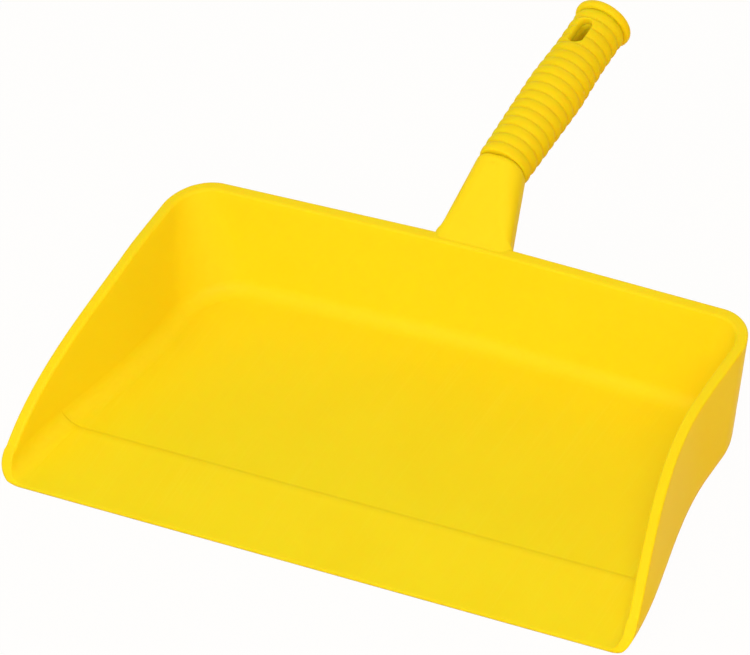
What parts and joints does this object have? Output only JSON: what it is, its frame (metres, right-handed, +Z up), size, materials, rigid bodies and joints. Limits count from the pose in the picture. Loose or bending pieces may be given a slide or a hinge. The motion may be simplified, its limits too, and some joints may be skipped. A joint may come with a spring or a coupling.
{
  "type": "dustpan",
  "caption": "Wide hand dustpan with a flared open scoop, a thin front lip, a ramp over a crest, a raked back wall and a ribbed round grip with a hang slot.",
  "frame": {"origin": "middle of the bounding box's bottom, on the ground", "axes": "+X to the right along the lip, +Y back from the lip to the end of the grip, +Z up"},
  "size_m": [0.3294, 0.293, 0.0859],
  "materials": {
    "pan_plastic": "satin moulded yellow",
    "grip_plastic": "matt moulded deep yellow",
    "cap_plastic": "matt moulded deep yellow"
  },
  "bodies": {
    "root": {"pan": "pan_plastic", "grip": "grip_plastic", "end_cap": "cap_plastic"}
  },
  "joints": []
}
